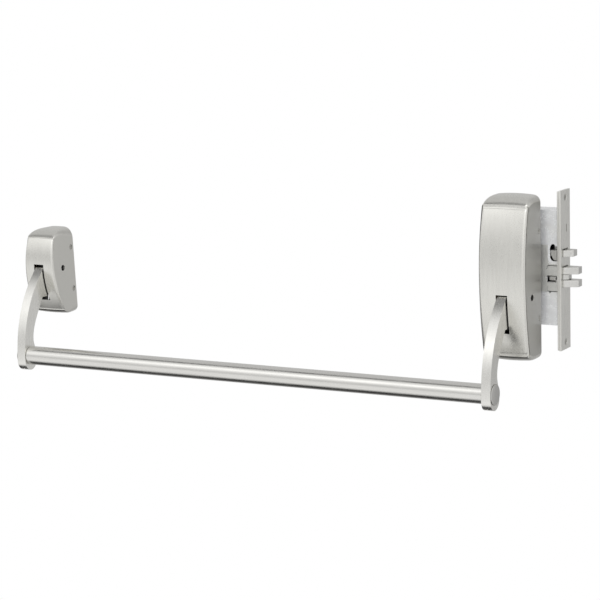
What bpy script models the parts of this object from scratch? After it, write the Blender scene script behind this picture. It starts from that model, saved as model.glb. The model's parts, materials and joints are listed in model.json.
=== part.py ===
"""Crossbar panic exit device with a mortise lock, for the push side of an outward opening door.

Metres, +Z up. +X runs along the crossbar towards the lock edge of the door and +Y goes into the door, whose
face is the plane Y = 0. The origin is the centre of the active (lock side) case's back.
"""

import math

import bmesh
import bpy
from mathutils import Matrix, Vector

MM = 0.001

# ---------------------------------------------------------------- driving dimensions
GAP = 0.3 * MM  # between pieces that touch
ARM_SPACING = 693 * MM  # from arm centre to arm centre

# Arms and crossbar, as (Y, Z)
PIVOT = Vector((-29 * MM, -20 * MM))
BAR_AXIS = Vector((-91 * MM, -133 * MM))
BAR_RADIUS = 12.7 * MM
BAR_WALL = 1.65 * MM
ARM_HALF = 6.35 * MM
HUB_RADIUS = 12 * MM
PIVOT_RADIUS = 4 * MM
PIVOT_BORE = PIVOT_RADIUS + GAP
BOSS_RADIUS = 14 * MM
BOSS_DROP = 6.4 * MM  # the round end's centre is this far under the bar, for the set screw
PLUG_RADIUS = 10.7 * MM
ARM_FRONT_TOP = Vector((-50 * MM, -16.5 * MM))
ARM_BACK_TOP = Vector((-56.1 * MM, -57.5 * MM))
ARM_INNER = Vector((-44 * MM, -58.2 * MM))  # the lower end of the part that stays in the case
ARM_WAIST = Vector((-82.8 * MM, -112 * MM))
NOSE_REACH = 19.5 * MM
NOSE_RADIUS = 3 * MM
BAR_TURN = math.radians(14)  # how far the bar swings to the door

# Cases
COVER_WALL = 2 * MM
SLOT_HALF = 7.7 * MM
SLOT_BOTTOM = -64.6 * MM
PIVOT_ACCESS_RADIUS = 4.1 * MM
COVER_SCREW = (1.9 * MM, 3.2 * MM, 1.5 * MM, 6 * MM)  # radius, head radius, head height, length
MOUNTING_SCREW = (2.8 * MM, 5 * MM, 2.8 * MM, 14 * MM)
EAR_INNER = 13.5 * MM
EAR_THICK = 2.5 * MM
WEB_THICK = 3 * MM
WEB_CORNER = 9 * MM
TAB_HALF = 7 * MM
TAB_THICK = 2.4 * MM
SCREW_LINE = -6.5 * MM  # Y of the cover screws

# Lock, whose hub is one backset in from the faceplate
FACE_X = 56 * MM
BACKSET = 57.15 * MM
HUB_X = FACE_X - BACKSET
HUB_Z = 22 * MM
PLATE_THICK = 2.7 * MM
FACE_Y = (6.35 * MM, 38.1 * MM)
FACE_MIDDLE_Z = 8.6 * MM
FACE_HALF_HEIGHT = 101.6 * MM
FACE_SCREW_OFFSET = 92 * MM
CASE_X = (-40 * MM, 50.6 * MM)
CASE_Y = (11.5 * MM, 34.9 * MM)
CASE_Z = (-61 * MM, 86 * MM)
CASE_WALL = 1.5 * MM
HUB_SWING = math.radians(25.6)  # to each side of straight down
HUB_REACH = 22 * MM
CRANK_REACH = NOSE_REACH * math.sin(BAR_TURN / 2) / math.sin(HUB_SWING)
CRANK_Y = (-7.9 * MM, -4 * MM)
CRANK_RADIUS = 9 * MM
SPINDLE_HALF = 4 * MM
SQUARE_HALF = SPINDLE_HALF + 0.25 * MM  # of the square bores that the spindle fits
SPINDLE_BORE_RADIUS = 6.6 * MM  # through the plates it passes
BOLT_FAR_Y = 30.2 * MM
LATCH_Z = 0.7 * MM
LATCH_HALF = 12.5 * MM
LATCH_NEAR_Y = 12.2 * MM
LATCH_THROW = 19 * MM
FINGER_GAP_HALF = 3.8 * MM
AUX_Z = 30.7 * MM
AUX_HALF = 4 * MM
AUX_NEAR_Y = 13 * MM
AUX_THROW = 12.7 * MM
LEVER_PIVOT = Vector((16 * MM, 17.5 * MM))  # deadlock lever, as (X, Z)
TONGUE_PIN = (52.4 * MM, 24.6 * MM)  # as (X, Y)
TONGUE_PIN_RADIUS = 1.5 * MM
LATCH_OPENING = (11.7 * MM, LATCH_Z - LATCH_HALF - 0.4 * MM, 30.7 * MM, LATCH_Z + LATCH_HALF + 1 * MM)
AUX_OPENING = (12.3 * MM, AUX_Z - AUX_HALF - 0.4 * MM, 30.7 * MM, AUX_Z + AUX_HALF + 1.4 * MM)
AUX_BOSS = ((48.4 * MM, 28 * MM), 6.6 * MM)  # its centre as (X, Z), and its radius
BEYOND = 60 * MM  # an X past the lock case's front edge, for holes that are open there
SPRING_COIL = 2.6 * MM  # of the two bolt springs
SPRING_WIRE = 0.45 * MM

# Lift slide and crank
SLIDE_Y = (-11.2 * MM, -8.4 * MM)
SLIDE_X = (-13 * MM, 8 * MM)
CRANK_PIN_RADIUS = 1.8 * MM

# How finely round shapes are cut
FINE = 32  # sides of a large round piece
COARSE = 16  # sides of a small one
TINY = 12  # sides of a screw or a wire's coil
CORNER_STEPS = 3  # faces round a rectangle's corner
ACROSS = 4  # faces across a cover's front
FACE_HEIGHT = 18 * MM  # of a cover's faces
SIDE_SHARES = (0, 0.45, 0.75, 0.9)  # shares of the depth at which a cover's sides have a row of points
FOLD_TURNS = (0, 30, 60, 90)  # degrees round the edge between a cover's sides and its front


# ---------------------------------------------------------------- materials
def material(name, colour, roughness, metallic):
    made = bpy.data.materials.new(name)
    made.use_nodes = True
    shader = made.node_tree.nodes["Principled BSDF"]
    shader.inputs["Base Color"].default_value = (*colour, 1)
    shader.inputs["Roughness"].default_value = roughness
    shader.inputs["Metallic"].default_value = metallic
    return made


# ---------------------------------------------------------------- shapes
def finish(name, bm, look, smooth=30):
    """The bmesh as an object, with its faces pointing out."""
    bmesh.ops.recalc_face_normals(bm, faces=bm.faces)
    if bm.calc_volume(signed=True) < 0:
        bmesh.ops.reverse_faces(bm, faces=bm.faces)
    mesh = bpy.data.meshes.new(name)
    bm.to_mesh(mesh)
    bm.free()
    mesh.shade_smooth()
    mesh.set_sharp_from_angle(angle=math.radians(smooth))
    mesh.materials.append(look)
    made = bpy.data.objects.new(name, mesh)
    bpy.context.scene.collection.objects.link(made)
    return made


def box(name, low, high, look):
    bm = bmesh.new()
    size = Vector(high) - Vector(low)
    middle = (Vector(high) + Vector(low)) / 2
    bmesh.ops.create_cube(bm, size=1, matrix=Matrix.Translation(middle) @ Matrix.Diagonal((*size, 1)))
    return finish(name, bm, look)


def place(axis, first, second, along):
    """A point from its two coordinates across an axis, in X, Y, Z order, and one along it."""
    point = [first, second]
    point.insert("XYZ".index(axis), along)
    return Vector(point)


def extruded(name, outline, axis, low, high, look):
    """A prism: the outline across the axis, from low to high along it."""
    bm = bmesh.new()
    bottom = [bm.verts.new(place(axis, a, b, low)) for a, b in outline]
    top = [bm.verts.new(place(axis, a, b, high)) for a, b in outline]
    bm.faces.new(bottom)
    bm.faces.new(top)
    for i in range(len(outline)):
        j = (i + 1) % len(outline)
        bm.faces.new((bottom[i], bottom[j], top[j], top[i]))
    return finish(name, bm, look)


def turned(name, profile, axis, centre, look, sides=COARSE, ring=False):
    """A turned piece from (radius, place along the axis) points: from axis to axis, or a closed ring."""
    bm = bmesh.new()
    rows = []
    for radius, along in profile:
        if radius == 0:
            rows.append([bm.verts.new(place(axis, *centre, along))])
            continue
        row = []
        for i in range(sides):
            turn = 2 * math.pi * i / sides
            first = centre[0] + radius * math.cos(turn)
            second = centre[1] + radius * math.sin(turn)
            row.append(bm.verts.new(place(axis, first, second, along)))
        rows.append(row)
    pairs = list(zip(rows, rows[1:]))
    if ring:
        pairs.append((rows[-1], rows[0]))
    for one, two in pairs:
        for i in range(sides):
            j = (i + 1) % sides
            corners = [one[i % len(one)], one[j % len(one)], two[j % len(two)], two[i % len(two)]]
            bm.faces.new(list(dict.fromkeys(corners)))
    return finish(name, bm, look)


def rod(name, radius, axis, centre, low, high, look, sides=COARSE):
    return turned(name, [(0, low), (radius, low), (radius, high), (0, high)], axis, centre, look, sides)


def tube(name, outer, inner, axis, centre, low, high, look, sides=COARSE):
    profile = [(outer, low), (outer, high), (inner, high), (inner, low)]
    return turned(name, profile, axis, centre, look, sides, ring=True)


def wire(name, path, radius, look, sides=6):
    """A round wire along a path of points."""
    bm = bmesh.new()
    rows = []
    for i, point in enumerate(path):
        ahead = (path[min(i + 1, len(path) - 1)] - path[max(i - 1, 0)]).normalized()
        side = ahead.cross(Vector((1, 0.01, 0.02))).normalized()
        up = ahead.cross(side)
        turns = [2 * math.pi * k / sides for k in range(sides)]
        rows.append([bm.verts.new(point + radius * (math.cos(t) * side + math.sin(t) * up)) for t in turns])
    for one, two in zip(rows, rows[1:]):
        for i in range(sides):
            j = (i + 1) % sides
            bm.faces.new((one[i], one[j], two[j], two[i]))
    bm.faces.new(rows[0])
    bm.faces.new(rows[-1])
    return finish(name, bm, look, smooth=60)


def boolean(target, tool, operation):
    tool.hide_render = True
    tool.display_type = "WIRE"
    modifier = target.modifiers.new(tool.name, "BOOLEAN")
    modifier.operation = operation
    modifier.object = tool


def cut(target, *tools):
    for tool in tools:
        boolean(target, tool, "DIFFERENCE")


def join(target, *tools):
    for tool in tools:
        boolean(target, tool, "UNION")


def hex_socket(target, axis, centre, low, high, across, look):
    """A hexagonal recess, across its flats."""
    cut(target, rod(target.name + "_socket", across / math.sqrt(3), axis, centre, low, high, look, 6))


def bezier(start, start_pull, end_pull, end, steps):
    """Points along a cubic curve, without its last one."""
    points = []
    for i in range(steps):
        t = i / steps
        u = 1 - t
        points.append(u**3 * start + 3 * u * u * t * start_pull + 3 * u * t * t * end_pull + t**3 * end)
    return points


def arc(centre, radius, start, end, steps):
    """Points along an arc between two angles in degrees, both ends included."""
    turns = [math.radians(start + (end - start) * i / steps) for i in range(steps + 1)]
    return [Vector((centre[0] + radius * math.cos(t), centre[1] + radius * math.sin(t))) for t in turns]


def rounded_rectangle(low, high, bottom_radius, top_radius):
    """The outline of a rectangle, with one radius for its two lower corners and one for its two upper ones."""
    corners = (
        ((high[0] - top_radius, high[1] - top_radius), top_radius, 0),
        ((low[0] + top_radius, high[1] - top_radius), top_radius, 90),
        ((low[0] + bottom_radius, low[1] + bottom_radius), bottom_radius, 180),
        ((high[0] - bottom_radius, low[1] + bottom_radius), bottom_radius, 270),
    )
    points = []
    for centre, radius, start in corners:
        points += arc(centre, radius, start, start + 90, CORNER_STEPS)
    return points


# ---------------------------------------------------------------- case covers
class CoverShape:
    """The outside of a case cover: nearly upright sides, a crowned front, and a sharp fold above and below it."""

    side_draft = 0.4 * MM
    fold_radius = 0.7 * MM

    def __init__(self, x, half, flare, base, fold, bulge, bow, corner, side_radius, depth, end_depths, peak, crown):
        self.x = x
        self.half = half
        self.flare = flare  # how much narrower the top is, as a share of the width
        self.base = base  # bottom and top of the back
        self.fold = fold  # heights of the two folds
        self.bulge = bulge  # how late the top and bottom turn towards the folds, as a power of the depth
        self.bow = bow  # how far the top and bottom edges curve outwards, at the back and at the front
        self.corner = corner  # of the outline: bottom and top at the back, and both at the front
        self.side_radius = side_radius  # between the sides and the front
        self.depth = depth
        self.end_depths = end_depths  # at the two folds
        self.peak = peak  # height of the front's highest point, from -1 to 1
        self.crown = crown  # how far the front curves across its width
        self.parts = round((base[1] - base[0]) / FACE_HEIGHT)

    def hollow_half(self, height):
        """Half the hollow's width at the back, at a height."""
        middle = sum(self.base) / 2
        rise = (height - middle) / (self.base[1] - middle)
        return (self.half - COVER_WALL) * (1 - self.flare * rise)

    def ring(self, share, wall):
        """Points of the outline at a share of the depth: X, Z, the normal, and the place across and up."""
        half = self.half - wall - self.side_draft * share
        turned_in = share**self.bulge
        bow = mix(*self.bow, turned_in)
        bottom_corner = mix(self.corner[0], self.corner[2], share)
        top_corner = mix(self.corner[1], self.corner[2], share)
        low = mix(self.base[0], self.fold[0], turned_in) + bow + wall
        high = mix(self.base[1], self.fold[1], turned_in) - bow - wall
        tall = (high - low) / 2
        outline = rounded_rectangle((-half, -tall), (half, tall), bottom_corner, top_corner)
        points = []
        for x, z in subdivided(outline, ACROSS, self.parts):
            across = x / half
            rise = z / tall
            corner = top_corner if z > 0 else bottom_corner
            normal = Vector((beyond(x, half - corner), beyond(z, tall - corner))).normalized()
            bowed = bow * (1 - across * across) * rise * abs(rise) ** 3
            middle = (low + high) / 2
            points.append((x * (1 - self.flare * rise), middle + z + bowed, normal, across, rise))
        return points

    def front(self, across, rise, wall):
        """How far out the front is, at a place across and up."""
        end = self.end_depths[1] if rise > self.peak else self.end_depths[0]
        reach = (rise - self.peak) / (math.copysign(1, rise - self.peak) - self.peak)
        return self.depth - (self.depth - end) * reach * reach - self.crown * across * across - wall

    def surface(self, bm, wall, turns):
        """Rings of vertices from the open back to the middle of the front."""
        rows = []
        for share in SIDE_SHARES:
            row = []
            for x, z, _, across, rise in self.ring(share, wall):
                row.append(bm.verts.new((self.x + x, -self.front(across, rise, wall) * share, z)))
            rows.append(row)
        edge = self.ring(1, wall)
        for turn in turns:
            row = []
            for x, z, normal, across, rise in edge:
                radius = mix(self.fold_radius, self.side_radius, normal[0] ** 2)
                radius = max(radius - wall, 0.3 * MM)
                inset = radius * (1 - math.cos(turn))
                back = radius * (1 - math.sin(turn))
                place = (self.x + x - normal[0] * inset, back - self.front(across, rise, wall), z - normal[1] * inset)
                row.append(bm.verts.new(place))
            rows.append(row)
        self.fill(bm, rows[-1], edge, wall)
        return rows

    def fill(self, bm, ring, edge, wall):
        """The front, as rows of faces between the points of its edge that face each other."""
        left = CORNER_STEPS + ACROSS
        below = self.parts + 2 * CORNER_STEPS
        rows = [[ring[left - j] for j in range(ACROSS + 1)]]
        for k in range(1, below):
            ends = ring[left + k], ring[CORNER_STEPS - k]
            side, rise = edge[left + k][3:]
            row = [ends[0]]
            for j in range(1, ACROSS):
                share = j / ACROSS
                across = mix(side, -side, share)
                rounded = self.bow[1] * (side * side - across * across) * rise * abs(rise) ** 3
                x = mix(ends[0].co[0], ends[1].co[0], share)
                row.append(bm.verts.new((x, -self.front(across, rise, wall), ends[0].co[2] + rounded)))
            rows.append([*row, ends[1]])
        rows.append([ring[left + below + j] for j in range(ACROSS + 1)])
        for one, two in zip(rows, rows[1:]):
            for j in range(ACROSS):
                bm.faces.new((one[j], one[j + 1], two[j + 1], two[j]))

    def build(self, name, look):
        bm = bmesh.new()
        outside = self.surface(bm, 0, [math.radians(t) for t in FOLD_TURNS])
        inside = self.surface(bm, COVER_WALL, [0, math.pi / 2])
        rows = outside[::-1] + inside
        for one, two in zip(rows, rows[1:]):
            for i in range(len(one)):
                j = (i + 1) % len(one)
                bm.faces.new((one[i], one[j], two[j], two[i]))
        bmesh.ops.triangulate(bm, faces=bm.faces)
        return finish(name, bm, look, smooth=28)


def mix(first, second, share):
    return first + (second - first) * share


def beyond(value, limit):
    """How far a value is outside -limit to limit, with its sign."""
    return math.copysign(max(abs(value) - limit, 0), value)


def subdivided(outline, across, up):
    """A rounded rectangle's outline with its straight stretches cut into parts."""
    corner_points = len(outline) // 4
    points = []
    for i, point in enumerate(outline):
        after = outline[(i + 1) % len(outline)]
        corner, within = divmod(i + 1, corner_points)
        parts = 1 if within else (across if corner % 2 else up)
        points += [point.lerp(after, k / parts) for k in range(parts)]
    return points


ACTIVE = CoverShape(
    x=0,
    half=31.8 * MM,
    flare=0,
    base=(-103.8 * MM, 107 * MM),
    fold=(-94.8 * MM, 97.3 * MM),
    bulge=3.8,
    bow=(2.1 * MM, 0.6 * MM),
    corner=(7.5 * MM, 8.5 * MM, 5.2 * MM),
    side_radius=5 * MM,
    depth=53.5 * MM,
    end_depths=(39.2 * MM, 39.6 * MM),
    peak=0.1,
    crown=1 * MM,
)
IDLE = CoverShape(
    x=-ARM_SPACING,
    half=24.2 * MM,
    flare=0.09,
    base=(-86.3 * MM, 33.4 * MM),
    fold=(-80 * MM, 24.4 * MM),
    bulge=5,
    bow=(1.1 * MM, 0.6 * MM),
    corner=(8 * MM, 13.5 * MM, 1.8 * MM),
    side_radius=3.5 * MM,
    depth=53.5 * MM,
    end_depths=(31.5 * MM, 46.3 * MM),
    peak=0.33,
    crown=0.1 * MM,
)


def tab_face(shape, height):
    """How far from the case's middle the chassis's tab at a height reaches, just inside the cover."""
    return shape.hollow_half(height + TAB_HALF) - GAP - shape.side_draft / 4


def cover(prefix, shape, slot_top, screw_heights, look):
    made = shape.build(prefix + "_cover", look)
    x = shape.x
    slot_low = (x - SLOT_HALF, -60 * MM, SLOT_BOTTOM)
    slot_high = (x + SLOT_HALF, -30 * MM, slot_top)
    cut(made, box(prefix + "_slot", slot_low, slot_high, look))
    near = x + EAR_INNER + EAR_THICK
    far = x + shape.half + 5 * MM
    cut(made, rod(prefix + "_access", PIVOT_ACCESS_RADIUS, "X", PIVOT, near, far, look, TINY))
    for height in screw_heights:
        name = f"{prefix}_cover_bore_{round(height / MM)}"
        bore = COVER_SCREW[1] + GAP
        cut(made, rod(name, bore, "X", (SCREW_LINE, height), x - far + x, far, look, TINY))
    for i, height in enumerate(screw_heights):
        for j, side in enumerate((-1, 1)):
            name = f"{prefix}_cover_screw_{2 * i + j + 1}"
            cover_screw(name, x, side, tab_face(shape, height), height, look)


def cover_screw(name, x, side, face, height, look):
    """A flat headed screw through the cover's side into a tab of the chassis."""
    radius, head_radius, tall, length = COVER_SCREW
    head = face + GAP
    profile = [(0, head - length), (radius, head - length), (radius, head), (head_radius, head)]
    profile += [(head_radius, head + tall), (0, head + tall)]
    points = [(r, x + side * along) for r, along in profile]
    made = turned(name, points, "X", (SCREW_LINE, height), look, TINY)
    ends = sorted((x + side * (head + 0.5 * MM), x + side * (head + 3 * MM)))
    hex_socket(made, "X", (SCREW_LINE, height), *ends, 2.5 * MM, look)


# ---------------------------------------------------------------- chassis, pivot and return spring
def chassis(prefix, shape, half, low, high, tab_heights, bolt_places, look):
    """A back plate with two ears for the arm's pivot and four tabs for the cover's screws."""
    x = shape.x
    web = rounded_rectangle((x - half, low), (x + half, high), WEB_CORNER, WEB_CORNER)
    made = extruded(prefix + "_chassis", web, "Y", -WEB_THICK, 0, look)
    ear = [(-1, -52), (-26, -44), (-40, -31), (-42, -20), (-38, -9), (-27, -4), (-1, 4)]
    ear = [(y * MM, z * MM) for y, z in ear]
    for side in (-1, 1):
        ends = sorted((x + side * EAR_INNER, x + side * (EAR_INNER + EAR_THICK)))
        join(made, extruded(f"{prefix}_ear_{side}", ear, "X", *ends, look))
        for height in tab_heights:
            inner, outer = sorted((x + side * tab_face(shape, height), x + side * (half - TAB_THICK)))
            low_corner = (inner, SCREW_LINE - 4.5 * MM, height - TAB_HALF)
            high_corner = (outer, -1 * MM, height + TAB_HALF)
            join(made, box(f"{prefix}_tab_{side}_{round(height / MM)}", low_corner, high_corner, look))
    span = 40 * MM
    cut(made, rod(prefix + "_pivot_bore", PIVOT_BORE, "X", PIVOT, x - span, x + span, look))
    for height in tab_heights:
        name = f"{prefix}_tab_bore_{round(height / MM)}"
        bore = COVER_SCREW[0] + GAP
        cut(made, rod(name, bore, "X", (SCREW_LINE, height), x - span, x + span, look, TINY))
    for i, (bolt_x, bolt_z) in enumerate(bolt_places):
        centre = (x + bolt_x, bolt_z)
        bore = MOUNTING_SCREW[0] + 0.5 * MM
        cut(made, rod(f"{prefix}_bolt_bore_{i}", bore, "Y", centre, -10 * MM, 10 * MM, look, TINY))
        mounting_screw(f"{prefix}_mounting_screw_{i + 1}", centre, look)
    return made


def mounting_screw(name, centre, look):
    """A pan headed screw from the back plate into the door."""
    radius, head_radius, tall, length = MOUNTING_SCREW
    head = -WEB_THICK - GAP
    profile = [(0, length), (radius, length - radius), (radius, head), (head_radius, head)]
    profile += [(head_radius, head - 0.65 * tall), (0.7 * head_radius, head - tall), (0, head - tall)]
    made = turned(name, profile, "Y", centre, look, TINY)
    hex_socket(made, "Y", centre, head - 5 * MM, head - 1.2 * MM, 3.2 * MM, look)


def pivot(prefix, x, look, bush_look):
    """A shoulder screw through both ears, its nut, and a bush on each side of the arm."""
    ear = EAR_INNER + EAR_THICK + GAP
    end = ear + 4.2 * MM
    head = ear + 3.4 * MM
    wide = 1.4 * PIVOT_RADIUS
    profile = [(0, -end), (PIVOT_RADIUS, -end), (PIVOT_RADIUS, ear), (wide, ear), (wide, head), (0, head)]
    screw = turned(prefix + "_pivot_screw", [(r, x + along) for r, along in profile], "X", PIVOT, look)
    hex_socket(screw, "X", PIVOT, x + ear + 1.2 * MM, x + ear + 6 * MM, 5 * MM, look)
    nut = rod(prefix + "_pivot_nut", 7.4 * MM, "X", PIVOT, x - ear - 4 * MM, x - ear, look, 6)
    cut(nut, rod(prefix + "_nut_bore", PIVOT_BORE, "X", PIVOT, x - ear - 9 * MM, x, look))
    for side, word in ((-1, "left"), (1, "right")):
        ends = sorted((x + side * (ARM_HALF + GAP), x + side * (EAR_INNER - GAP)))
        tube(f"{prefix}_bush_{word}", 1.5 * PIVOT_RADIUS, PIVOT_BORE, "X", PIVOT, *ends, bush_look)


def return_spring(prefix, x, look):
    """A torsion spring on the right bush, one leg along the arm and one to the back plate."""
    coil = 8.2 * MM
    thick = 0.7 * MM
    first = x + ARM_HALF + 2 * GAP + thick
    pitch = 1.6 * MM
    start = math.radians(-29)
    turns = 2.83
    steps = 36
    path = []
    for i in range(steps + 1):
        turn = start + 2 * math.pi * turns * i / steps
        along = first + pitch * turns * i / steps
        path.append(Vector((along, PIVOT[0] + coil * math.cos(turn), PIVOT[1] + coil * math.sin(turn))))
    arm_leg = path[0] + 15 * MM * Vector((0, math.sin(start), -math.cos(start)))
    plate_leg = path[-1] + Vector((0, 24.5 * MM, 0))
    wire(prefix + "_return_spring", [arm_leg, *path, plate_leg], thick, look)


# ---------------------------------------------------------------- arms and crossbar
def arm_outline(with_nose):
    """The arm from the side, as (Y, Z): swept front, round end, waist, back, the part in the case and the hub."""
    boss = Vector((BAR_AXIS[0] + 0.5 * MM, BAR_AXIS[1] - BOSS_DROP))
    foot = Vector((boss[0] - BOSS_RADIUS, boss[1]))
    front_pull = Vector((-30.8 * MM, -28.6 * MM))
    points = bezier(ARM_FRONT_TOP, ARM_FRONT_TOP + front_pull, foot + Vector((0, 62 * MM)), foot, 14)
    points += arc(boss, BOSS_RADIUS, 180, 355, 14)
    heel = points[-1]
    points = points[:-1]
    waist_pull = ARM_WAIST - Vector((0, 7 * MM))
    points += bezier(heel, heel + Vector((0.4 * MM, 12 * MM)), waist_pull, ARM_WAIST, 6)
    back_pull = ARM_BACK_TOP + Vector((-17.5 * MM, -25.5 * MM))
    points += bezier(ARM_WAIST, ARM_WAIST + Vector((0, 15.2 * MM)), back_pull, ARM_BACK_TOP, 9)
    points += [ARM_BACK_TOP, ARM_INNER]
    if with_nose:
        rest = -math.degrees(BAR_TURN) / 2
        tip = PIVOT + NOSE_REACH * Vector((math.cos(math.radians(rest)), math.sin(math.radians(rest))))
        points += arc(PIVOT, HUB_RADIUS, -56, -32, 2)
        points += arc(tip, NOSE_RADIUS, rest - 90, rest + 90, 5)
        points += arc(PIVOT, HUB_RADIUS, 0, 112, 8)
    else:
        points += arc(PIVOT, HUB_RADIUS, -56, 112, 11)
    return points


def set_screw_axis():
    """The direction from the bar's axis down to the set screw's mouth."""
    return Vector((0, -0.457, -0.889)).normalized()


def slanted_rod(name, start, end, radius, look, sides=TINY):
    """A rod along its own local Z, turned to run from start to end."""
    length = (end - start).length
    made = rod(name, radius, "Z", (0, 0), 0, length, look, sides)
    made.matrix_world = Matrix.Translation(start) @ (end - start).to_track_quat("Z", "Y").to_matrix().to_4x4()
    return made


def arm(prefix, x, with_nose, look, screw_look):
    made = extruded(prefix + "_arm", arm_outline(with_nose), "X", x - ARM_HALF, x + ARM_HALF, look)
    wide = 2 * ARM_HALF
    cut(made, rod(prefix + "_hub_bore", PIVOT_BORE, "X", PIVOT, x - wide, x + wide, look))
    bore = rod(prefix + "_plug_bore", PLUG_RADIUS + GAP, "X", BAR_AXIS, x - wide, x + wide, look, FINE)
    cut(made, bore)
    axle = Vector((x, *BAR_AXIS))
    down = set_screw_axis()
    cut(made, slanted_rod(prefix + "_set_bore", axle + 6 * MM * down, axle + 30 * MM * down, 3.3 * MM, look))
    near = axle + (PLUG_RADIUS + 2 * GAP) * down
    screw = slanted_rod(prefix + "_set_screw", near, near + 6 * MM * down, 3 * MM, screw_look)
    socket = slanted_rod(
        prefix + "_set_socket", near + 3.5 * MM * down, near + 9 * MM * down, 1.7 * MM, screw_look, 6
    )
    cut(screw, socket)
    return made


def end_plug(prefix, x, side, look):
    """A plug through the arm into the bar, with a flat head on the arm's outer face."""
    outer = ARM_HALF + GAP
    profile = [(0, outer + 1.2 * MM), (12.6 * MM, outer + 1.2 * MM), (13.4 * MM, outer + 0.6 * MM)]
    profile += [(13.4 * MM, outer), (PLUG_RADIUS, outer), (PLUG_RADIUS, -30 * MM), (0, -30 * MM)]
    turned(prefix + "_end_plug", [(r, x + side * a) for r, a in profile], "X", BAR_AXIS, look, FINE)


def crossbar(look):
    low = -ARM_SPACING + ARM_HALF + GAP
    tube("crossbar_tube", BAR_RADIUS, BAR_RADIUS - BAR_WALL, "X", BAR_AXIS, low, -ARM_HALF - GAP, look, FINE)


# ---------------------------------------------------------------- lift slide, crank and spindle
def lift_slide(look):
    """A plate that the active arm's nose lifts, with a window for the crank's pin."""
    nose_top = PIVOT[1] - NOSE_REACH * math.sin(BAR_TURN / 2) + NOSE_RADIUS
    made = box("lift_slide", (SLIDE_X[0], SLIDE_Y[0], nose_top + GAP), (SLIDE_X[1], SLIDE_Y[1], 42 * MM), look)
    pin_x, pin_z = crank_pin()
    middle_x = HUB_X - CRANK_REACH
    room = CRANK_PIN_RADIUS + 0.4 * MM
    low = (middle_x - room, -15 * MM, pin_z - CRANK_PIN_RADIUS - GAP)
    high = (pin_x + room, -5 * MM, pin_z + CRANK_PIN_RADIUS + GAP)
    cut(made, box("slide_window", low, high, look))


def slide_keeper(look):
    """A bridge on the back plate that the slide runs behind."""
    play = 0.4 * MM
    left = SLIDE_X[0] - play
    right = SLIDE_X[1] + play
    foot = -WEB_THICK - GAP
    front = SLIDE_Y[0] - play
    wall = 3 * MM
    outline = [(left - wall, foot), (left, foot), (left, front), (right, front), (right, foot)]
    outline += [(right + wall, foot), (right + wall, front - wall), (left - wall, front - wall)]
    extruded("slide_keeper", outline, "Z", 31 * MM, 38 * MM, look)


def crank_pin():
    """The crank pin's centre at rest, as (X, Z)."""
    return HUB_X - CRANK_REACH * math.cos(HUB_SWING), HUB_Z - CRANK_REACH * math.sin(HUB_SWING)


def drive_crank(look):
    """A disc on the spindle, with a pin that the lift slide raises."""
    middle = (HUB_X, HUB_Z)
    made = rod("drive_crank", CRANK_RADIUS, "Y", middle, *CRANK_Y, look, FINE)
    pin_end = SLIDE_Y[0] - 0.6 * MM
    join(made, rod("crank_pin", CRANK_PIN_RADIUS, "Y", crank_pin(), pin_end, CRANK_Y[0] + 0.5 * MM, look, TINY))
    low = (HUB_X - SQUARE_HALF, CRANK_Y[0] + 0.7 * MM, HUB_Z - SQUARE_HALF)
    high = (HUB_X + SQUARE_HALF, 0, HUB_Z + SQUARE_HALF)
    cut(made, box("crank_square", low, high, look))


def drive_spindle(look):
    low = (HUB_X - SPINDLE_HALF, CRANK_Y[0] + 0.7 * MM + GAP, HUB_Z - SPINDLE_HALF)
    high = (HUB_X + SPINDLE_HALF, 30 * MM, HUB_Z + SPINDLE_HALF)
    box("drive_spindle", low, high, look)


# ---------------------------------------------------------------- mortise lock
def cut_bolt_openings(made, look):
    """The two openings that the bolts pass through, in a plate across X."""
    for word, (y0, z0, y1, z1) in (("latch", LATCH_OPENING), ("aux", AUX_OPENING)):
        cut(made, box(f"{made.name}_{word}", (40 * MM, y0, z0), (60 * MM, y1, z1), look))


def spindle_bore(made, look):
    cut(made, rod(made.name + "_bore", SPINDLE_BORE_RADIUS, "Y", (HUB_X, HUB_Z), -10 * MM, 20 * MM, look))


def lock_case(look):
    """An open box with posts for the two springs."""
    low = (CASE_X[0], CASE_Y[0], CASE_Z[0])
    high = (CASE_X[1], CASE_Y[1], CASE_Z[1])
    made = box("lock_case", low, high, look)
    inner_low = (CASE_X[0] + CASE_WALL, 0, CASE_Z[0] + CASE_WALL)
    inner_high = (CASE_X[1] - CASE_WALL, CASE_Y[1] - CASE_WALL, CASE_Z[1] - CASE_WALL)
    cut(made, box("case_hollow", inner_low, inner_high, look))
    join(made, box("latch_spring_post", (3 * MM, 21.6 * MM, -11.8 * MM), (6 * MM, 34 * MM, -3.4 * MM), look))
    join(made, box("aux_spring_post", (10 * MM, 20 * MM, 36.4 * MM), (13 * MM, 34 * MM, 44 * MM), look))
    cut_bolt_openings(made, look)


def side_hole(name, outline, made, look):
    """A hole through a plate on the lock's side, as (X, Z)."""
    points = [(x * MM, z * MM) for x, z in outline]
    cut(made, extruded(f"{made.name}_{name}", points, "Y", 0, 20 * MM, look))


def plate_windows(made, look):
    """The latchbolt's window, and the two seams beside it."""
    cut(made, box(made.name + "_window", (36.2 * MM, 0, -5.9 * MM), (49.6 * MM, 20 * MM, 2.8 * MM), look))
    far = BEYOND / MM
    upper = [(far, 15.9), (38.4, 15.9), (36.2, 14.6), (35.6, 10.8), (36.5, 10.8), (37, 13.9), (38.8, 15), (far, 15)]
    side_hole("upper_seam", upper, made, look)
    lower = [(36.9, -11), (36.9, -16.9), (far, -16.9), (far, -18), (35.9, -18), (35.9, -11)]
    side_hole("lower_seam", lower, made, look)


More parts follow.
